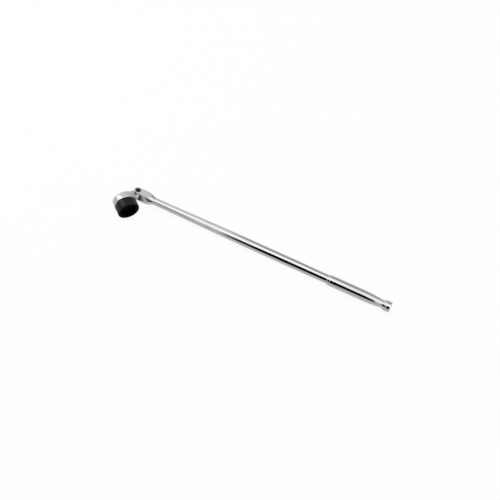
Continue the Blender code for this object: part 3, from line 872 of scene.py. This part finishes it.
def chromed_head():
    """The head: turned disc, forged neck and tongue, and square drive, in the head's own frame."""
    to_drive = drive_in_head()
    head = turned("chromed_head", crowned_disc(), BAR_FACETS)
    head.data.transform(to_drive)
    combine(head, neck(), "UNION")
    combine(head, tongue(), "UNION")
    square = drive_square()
    square.data.transform(to_drive)
    combine(head, square, "UNION")
    bore = rod("tongue_bore", BORE_RADIUS, -TONGUE_THICKNESS, TONGUE_THICKNESS, SMALL_FACETS)
    combine(head, bore, "DIFFERENCE")
    forge(head, HEAD_VOXEL, HEAD_SOFTENING)
    to_head = to_drive.inverted()
    # The square drive takes the painted shade black, as it sits in shade inside the socket
    for face in head.data.polygons:
        if (to_head @ face.center).z < -SEAT_GAP:
            face.material_index = 1
    return crisp(head, FORGED_ANGLE)


def black_socket():
    """The short six-point socket, in the drive's own frame."""
    top = SOCKET_TOP
    low = top - SOCKET_LENGTH
    inset = SOCKET_RADIUS - SOCKET_EDGE
    profile = [(0.0, top)]
    profile += arc((inset, top - SOCKET_EDGE), SOCKET_EDGE, 90, 0, CURVE_STEPS // 2)
    profile += arc((inset, low + SOCKET_EDGE), SOCKET_EDGE, 0, -90, CURVE_STEPS // 2)
    profile += [(0.0, low)]
    socket = turned("black_socket", profile, BAR_FACETS)
    hole_size = (SQUARE_HOLE, SQUARE_HOLE, 2 * SOCKET_LENGTH)
    combine(socket, block("square_hole", hole_size, (0, 0, top)), "DIFFERENCE")
    nut = hexagon("nut_hexagon", NUT_SIZE, low - OVERRUN, low + NUT_DEPTH)
    combine(socket, nut, "DIFFERENCE")
    flat = NUT_SIZE / 2
    corner = hexagon_corner(NUT_SIZE)
    depth = low + MOUTH_CHAMFER + corner - flat
    below = low - OVERRUN / 10
    lead_in = [
        (0.0, depth),
        (flat - MOUTH_CHAMFER, depth),
        (corner + MOUTH_CHAMFER / 2, below),
        (0.0, below),
    ]
    combine(socket, turned("mouth_chamfer", lead_in, BAR_FACETS), "DIFFERENCE")
    # The socket's inside and its mouth's end face take the painted shade black
    for face in socket.data.polygons:
        middle = face.center
        if math.hypot(middle.x, middle.y) < inset and middle.z < top - SOCKET_EDGE / 2:
            face.material_index = 1
    return crisp(socket)


def black_screw():
    """The pivot screw: low round head with a hexagon recess, plain shank through both ears."""
    top = FORK_THICKNESS / 2 + SCREW_HEAD_PROUD
    underside = top - SCREW_HEAD_HEIGHT
    end = -FORK_THICKNESS / 2 + SCREW_END_INSET
    profile = [(0.0, top)]
    for step in range(1, CURVE_STEPS + 1):
        angle = math.radians(90 * step / CURVE_STEPS)
        height = top - SCREW_CROWN * (1 - math.cos(angle))
        profile.append((SCREW_HEAD_RADIUS * math.sin(angle), height))
    profile += [(SCREW_HEAD_RADIUS, underside), (SCREW_RADIUS, underside)]
    profile += [(SCREW_RADIUS, end + SEAT_GAP), (SCREW_RADIUS - SEAT_GAP, end), (0.0, end)]
    screw = turned("black_pivot_screw", profile, SMALL_FACETS)
    key = hexagon("key", HEX_KEY_SIZE, top - HEX_KEY_DEPTH, top + OVERRUN)
    return crisp(combine(screw, key, "DIFFERENCE"))


def split_washer():
    """The split spring washer under the screw's head."""
    high = FORK_THICKNESS / 2 + SCREW_HEAD_PROUD - SCREW_HEAD_HEIGHT - SEAT_GAP
    low = high - SPRING_WASHER_THICKNESS
    washer = ring("split_spring_washer", BORE_RADIUS, SCREW_HEAD_RADIUS, low, high)
    size = (SCREW_HEAD_RADIUS * 2, SPRING_WASHER_SPLIT, OVERRUN)
    split = block("split", size, (SCREW_HEAD_RADIUS, 0, low))
    turn(split, SPRING_WASHER_SPLIT_ANGLE, "Z")
    return crisp(combine(washer, split, "DIFFERENCE"))


def steel_ball():
    """The ball in the side of the square, turned from a half circle."""
    profile = arc((0, 0), BALL_RADIUS, 90, -90, 2 * CURVE_STEPS)
    profile[0] = (0.0, BALL_RADIUS)
    profile[-1] = (0.0, -BALL_RADIUS)
    ball = turned("steel_drive_ball", profile, SMALL_FACETS // 2)
    height = BALL_FROM_SQUARE_END - SQUARE_LENGTH
    return shift(ball, (SQUARE_SIDE / 2 + BALL_PROUD - BALL_RADIUS, 0, height))


def own_frames():
    """The bar's, the head's and the drive's own frames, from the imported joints."""
    joints = {joint["name"]: joint for joint in frame["joints"]}
    pivot = Vector(joints["head_swivel"]["pos_m"])
    pin = Vector(joints["head_swivel"]["axis"]).normalized()
    out_of_mouth = Vector(joints["socket_pull_off"]["axis"]).normalized()
    head = axes_at(pivot, (-out_of_mouth).cross(pin), pin)
    bar = head @ Matrix.Rotation(math.radians(-FLEX_ANGLE), 4, "Z")
    drive = head @ drive_in_head()
    return bar, head, drive


def drive_in_head():
    """The drive's frame as the head's frame sees it."""
    onto_side = Matrix.Rotation(math.radians(-90), 4, "X")
    return Matrix.Translation((-HEAD_REACH, -HEAD_DROP, 0)) @ onto_side


def axes_at(origin, along, up):
    """A frame at a point, from its X and Z directions."""
    x = along.normalized()
    z = up.normalized()
    y = z.cross(x)
    rows = [(x[axis], y[axis], z[axis], origin[axis]) for axis in range(3)]
    return Matrix(rows + [(0, 0, 0, 1)])


def fit(item, place, body, node, material_slot, *materials):
    """Set a finished piece in its frame, on its body, in place of its solid."""
    item.data.transform(place)
    for material in materials:
        item.data.materials.append(material)
    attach(item, body)
    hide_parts(node)


def white_bench():
    """A pale bench top that stays white in the picture and keeps a soft shadow."""
    bench = block("bench", (BENCH_SIDE, BENCH_SIDE, BENCH_THICKNESS), (0, 0, -BENCH_THICKNESS / 2))
    material, finish = new_finish("bench_white")
    rays = [finish.node("LightPath", output=name)
            for name in ("Is Camera Ray", "Is Glossy Ray", "Is Transmission Ray")]
    seen = finish.between(rays[0] + rays[1] + rays[2], 0.0, 1.0)
    paper = finish.noise(finish.place(), BENCH_PAPER_SCALE)
    colour = finish.blend(paper, BENCH_PAPER, BENCH_PAPER_PALE)
    lit = finish.node("BsdfDiffuse", {}, {"Color": colour})
    glow = finish.node("Emission", {}, {"Color": (1.0, 1.0, 1.0, 1.0), "Strength": 1.0})
    shader = finish.node("MixShader", {}, {0: seen * BENCH_GLOW, 1: lit, 2: glow})
    finish.surface(shader)
    bench.data.materials.append(material)


def soft_room():
    """Soft light from all round, brightest overhead, dimmest low in front, weaker on matt faces."""
    world = bpy.data.worlds.new("soft_room")
    bpy.context.scene.world = world
    world.use_nodes = True
    finish = Finish(world.node_tree)
    direction = finish.node("TexCoord", output="Generated")
    back = finish.node("SeparateXYZ", {}, {"Vector": direction}, output="Y")
    height = finish.node("SeparateXYZ", {}, {"Vector": direction}, output="Z")
    lean = back.maths("ARCTAN2", height)
    stops = [(0.5 + angle / 360.0, level / ROOM_STRENGTH) for angle, level in ROOM_LEVELS]
    level = finish.node("ValToRGB", {"stops": stops}, {"Fac": 0.5 + lean * (0.5 / math.pi)})
    on_matt = finish.node("LightPath", output="Is Diffuse Ray")
    strength = ROOM_STRENGTH - on_matt * MATT_LOSS
    light = finish.node("Background", {}, {"Color": level, "Strength": strength})
    finish.surface(light, "OutputWorld")


def card_paint(name, pivot, left, right, level):
    """Even paint for a card, fading away at its two ends."""
    material, finish = new_finish(name, Matrix.Translation(pivot))
    along = finish.along("X")
    past_left = finish.between(along, left, left + CARD_FADE)
    before_right = finish.between(along, right - CARD_FADE, right, 1.0, 0.0)
    paint = finish.node("Emission", {}, {"Color": (level, level, level, 1.0), "Strength": 1.0})
    clear = finish.node("BsdfTransparent")
    finish.surface(finish.node("MixShader", {}, {0: past_left * before_right, 1: clear, 2: paint}))
    return material


def bent_card(name, pivot, columns, level):
    """A bent card beside the bench, seen only as the line that the chrome mirrors."""
    shape = bmesh.new()
    rows = []
    for along, upper, lower in columns:
        row = []
        for step in range(CURVE_STEPS + 1):
            lean = math.radians(upper + (lower - upper) * step / CURVE_STEPS)
            back, height = -CARD_DISTANCE * math.sin(lean), CARD_DISTANCE * math.cos(lean)
            row.append(shape.verts.new(pivot + Vector((along, back, height))))
        rows.append(row)
    for row, next_row in zip(rows, rows[1:]):
        for step in range(CURVE_STEPS):
            shape.faces.new((row[step], row[step + 1], next_row[step + 1], next_row[step]))
    card = show_shape(name, shape)
    card.data.materials.append(card_paint(name, pivot, columns[0][0], columns[-1][0], level))
    card.visible_camera = False
    card.visible_diffuse = False
    card.visible_transmission = False


def softbox(name, place, target, size, power):
    """A soft lamp aimed at a point."""
    lamp = bpy.data.lights.new(name, "AREA")
    lamp.shape = "RECTANGLE"
    lamp.size, lamp.size_y = size
    lamp.energy = power
    item = bpy.data.objects.new(name, lamp)
    bpy.context.scene.collection.objects.link(item)
    item.location = place
    item.rotation_euler = (target - place).to_track_quat("-Z", "Y").to_euler()
    return item


def photograph_camera(pivot):
    """A camera steeply above the bench on the socket's side; the bar falls to the right in it."""
    azimuth, elevation, fall = map(math.radians, (VIEW_AZIMUTH, VIEW_ELEVATION, BAR_FALL))
    towards = Vector((
        math.sin(azimuth) * math.cos(elevation),
        -math.cos(azimuth) * math.cos(elevation),
        math.sin(elevation),
    ))
    along_bar = Vector((1, 0, 0)) - towards * towards.x
    along_bar.normalize()
    across_bar = towards.cross(along_bar)
    right = along_bar * math.cos(fall) + across_bar * math.sin(fall)
    up = towards.cross(right)
    centre = pivot + right * ((FRAME_PIXELS / 2 - PIVOT_PIXEL[0]) / PIXELS_PER_METRE)
    centre -= up * ((FRAME_PIXELS / 2 - PIVOT_PIXEL[1]) / PIXELS_PER_METRE)
    distance = FRAME_PIXELS / PIXELS_PER_METRE * LENS / SENSOR
    data = bpy.data.cameras.new("photograph")
    data.lens = LENS
    data.sensor_width = SENSOR
    camera = bpy.data.objects.new("photograph", data)
    bpy.context.scene.collection.objects.link(camera)
    camera.matrix_world = axes_at(centre + towards * distance, right, towards)
    bpy.context.scene.camera = camera


bar_frame, head_frame, drive_frame = own_frames()
# The bar's chrome carries painted shade inside the fork's slot
bar_chrome = chrome_plate("bar_chrome", bar_frame, BAR_POLISHING, inside_fork_slot)
head_chrome = chrome_plate("head_chrome", head_frame, HEAD_POLISHING)
socket_black = black_oxide(
    "socket_black", drive_frame, BLACK_OXIDE, BLACK_OXIDE_PALE, SOCKET_GLOSS, OUTER_RIM)
# Painted shade for the socket's inside and the square drive
painted_shade_black = black_oxide(
    "socket_painted_shade_black", drive_frame, PAINTED_SHADE_BLACK, PAINTED_SHADE_BLACK_PALE, MOUTH_GLOSS, MOUTH_RIM)
screw_black = black_oxide("screw_black", bar_frame, BLACK_OXIDE, BLACK_OXIDE_PALE, SCREW_GLOSS)
steel = (SPRING_STEEL, SPRING_STEEL_DULL, STEEL_ROUGHNESS)
bright_steel = plain_metal("bright_steel", drive_frame, *steel)
washer_steel = plain_metal("washer_steel", bar_frame, *steel)
# The bronze washers are darkened with painted shade
washer_bronze = plain_metal("washer_bronze", bar_frame, BRONZE, BRONZE_DULL, BRONZE_ROUGHNESS)

fit(chromed_bar(), bar_frame, "handle", "handle_bar", "polished_chrome", bar_chrome)
fit(chromed_head(), head_frame, "head", "swivel_head", "polished_chrome", head_chrome, painted_shade_black)
fit(black_socket(), drive_frame, "socket", "drive_socket", "black_steel", socket_black, painted_shade_black)
fit(black_screw(), bar_frame, "handle", "pivot_screw", "black_steel", screw_black)
fit(split_washer(), bar_frame, "handle", "spring_washer", "washer_steel", washer_steel)
fit(steel_ball(), drive_frame, "ball", "drive_ball", "washer_steel", bright_steel)
inside = TONGUE_THICKNESS / 2 + SEAT_GAP
outside = inside + FRICTION_WASHER_THICKNESS
for side, low, high in (("upper", inside, outside), ("lower", -outside, -inside)):
    washer = ring(f"bronze_{side}_washer", BORE_RADIUS, FRICTION_WASHER_RADIUS, low, high)
    fit(washer, bar_frame, "handle", f"{side}_friction_washer", "friction_bronze", washer_bronze)
spring = frame["nodes"]["drive_spring"]
spring.data.materials.clear()
spring.data.materials.append(bright_steel)

white_bench()
soft_room()
pivot_point = bar_frame.translation.copy()
bent_card("black_front_card", pivot_point, FRONT_CARD, BLACK_CARD_LEVEL)
bent_card("black_left_card", pivot_point, FAR_LEFT_CARD, BLACK_CARD_LEVEL)
bent_card("grey_left_card", pivot_point, LEFT_CARD, LEFT_CARD_LEVEL)
bent_card("grey_back_card", pivot_point, BACK_CARD, BACK_CARD_LEVEL)
bent_card("pale_grip_card", pivot_point, GRIP_CARD, GRIP_CARD_LEVEL)
overhead_place, bench_middle = Vector(OVERHEAD_PLACE), Vector((0, 0, 0))
overhead = softbox("overhead", overhead_place, bench_middle, OVERHEAD_SIZE, OVERHEAD_POWER)
overhead.visible_glossy = False
left_place = pivot_point + Vector(LEFT_LAMP_PLACE)
softbox("left", left_place, pivot_point, LEFT_LAMP_SIZE, LEFT_LAMP_POWER)
photograph_camera(pivot_point)
bpy.context.scene.view_settings.view_transform = "Standard"
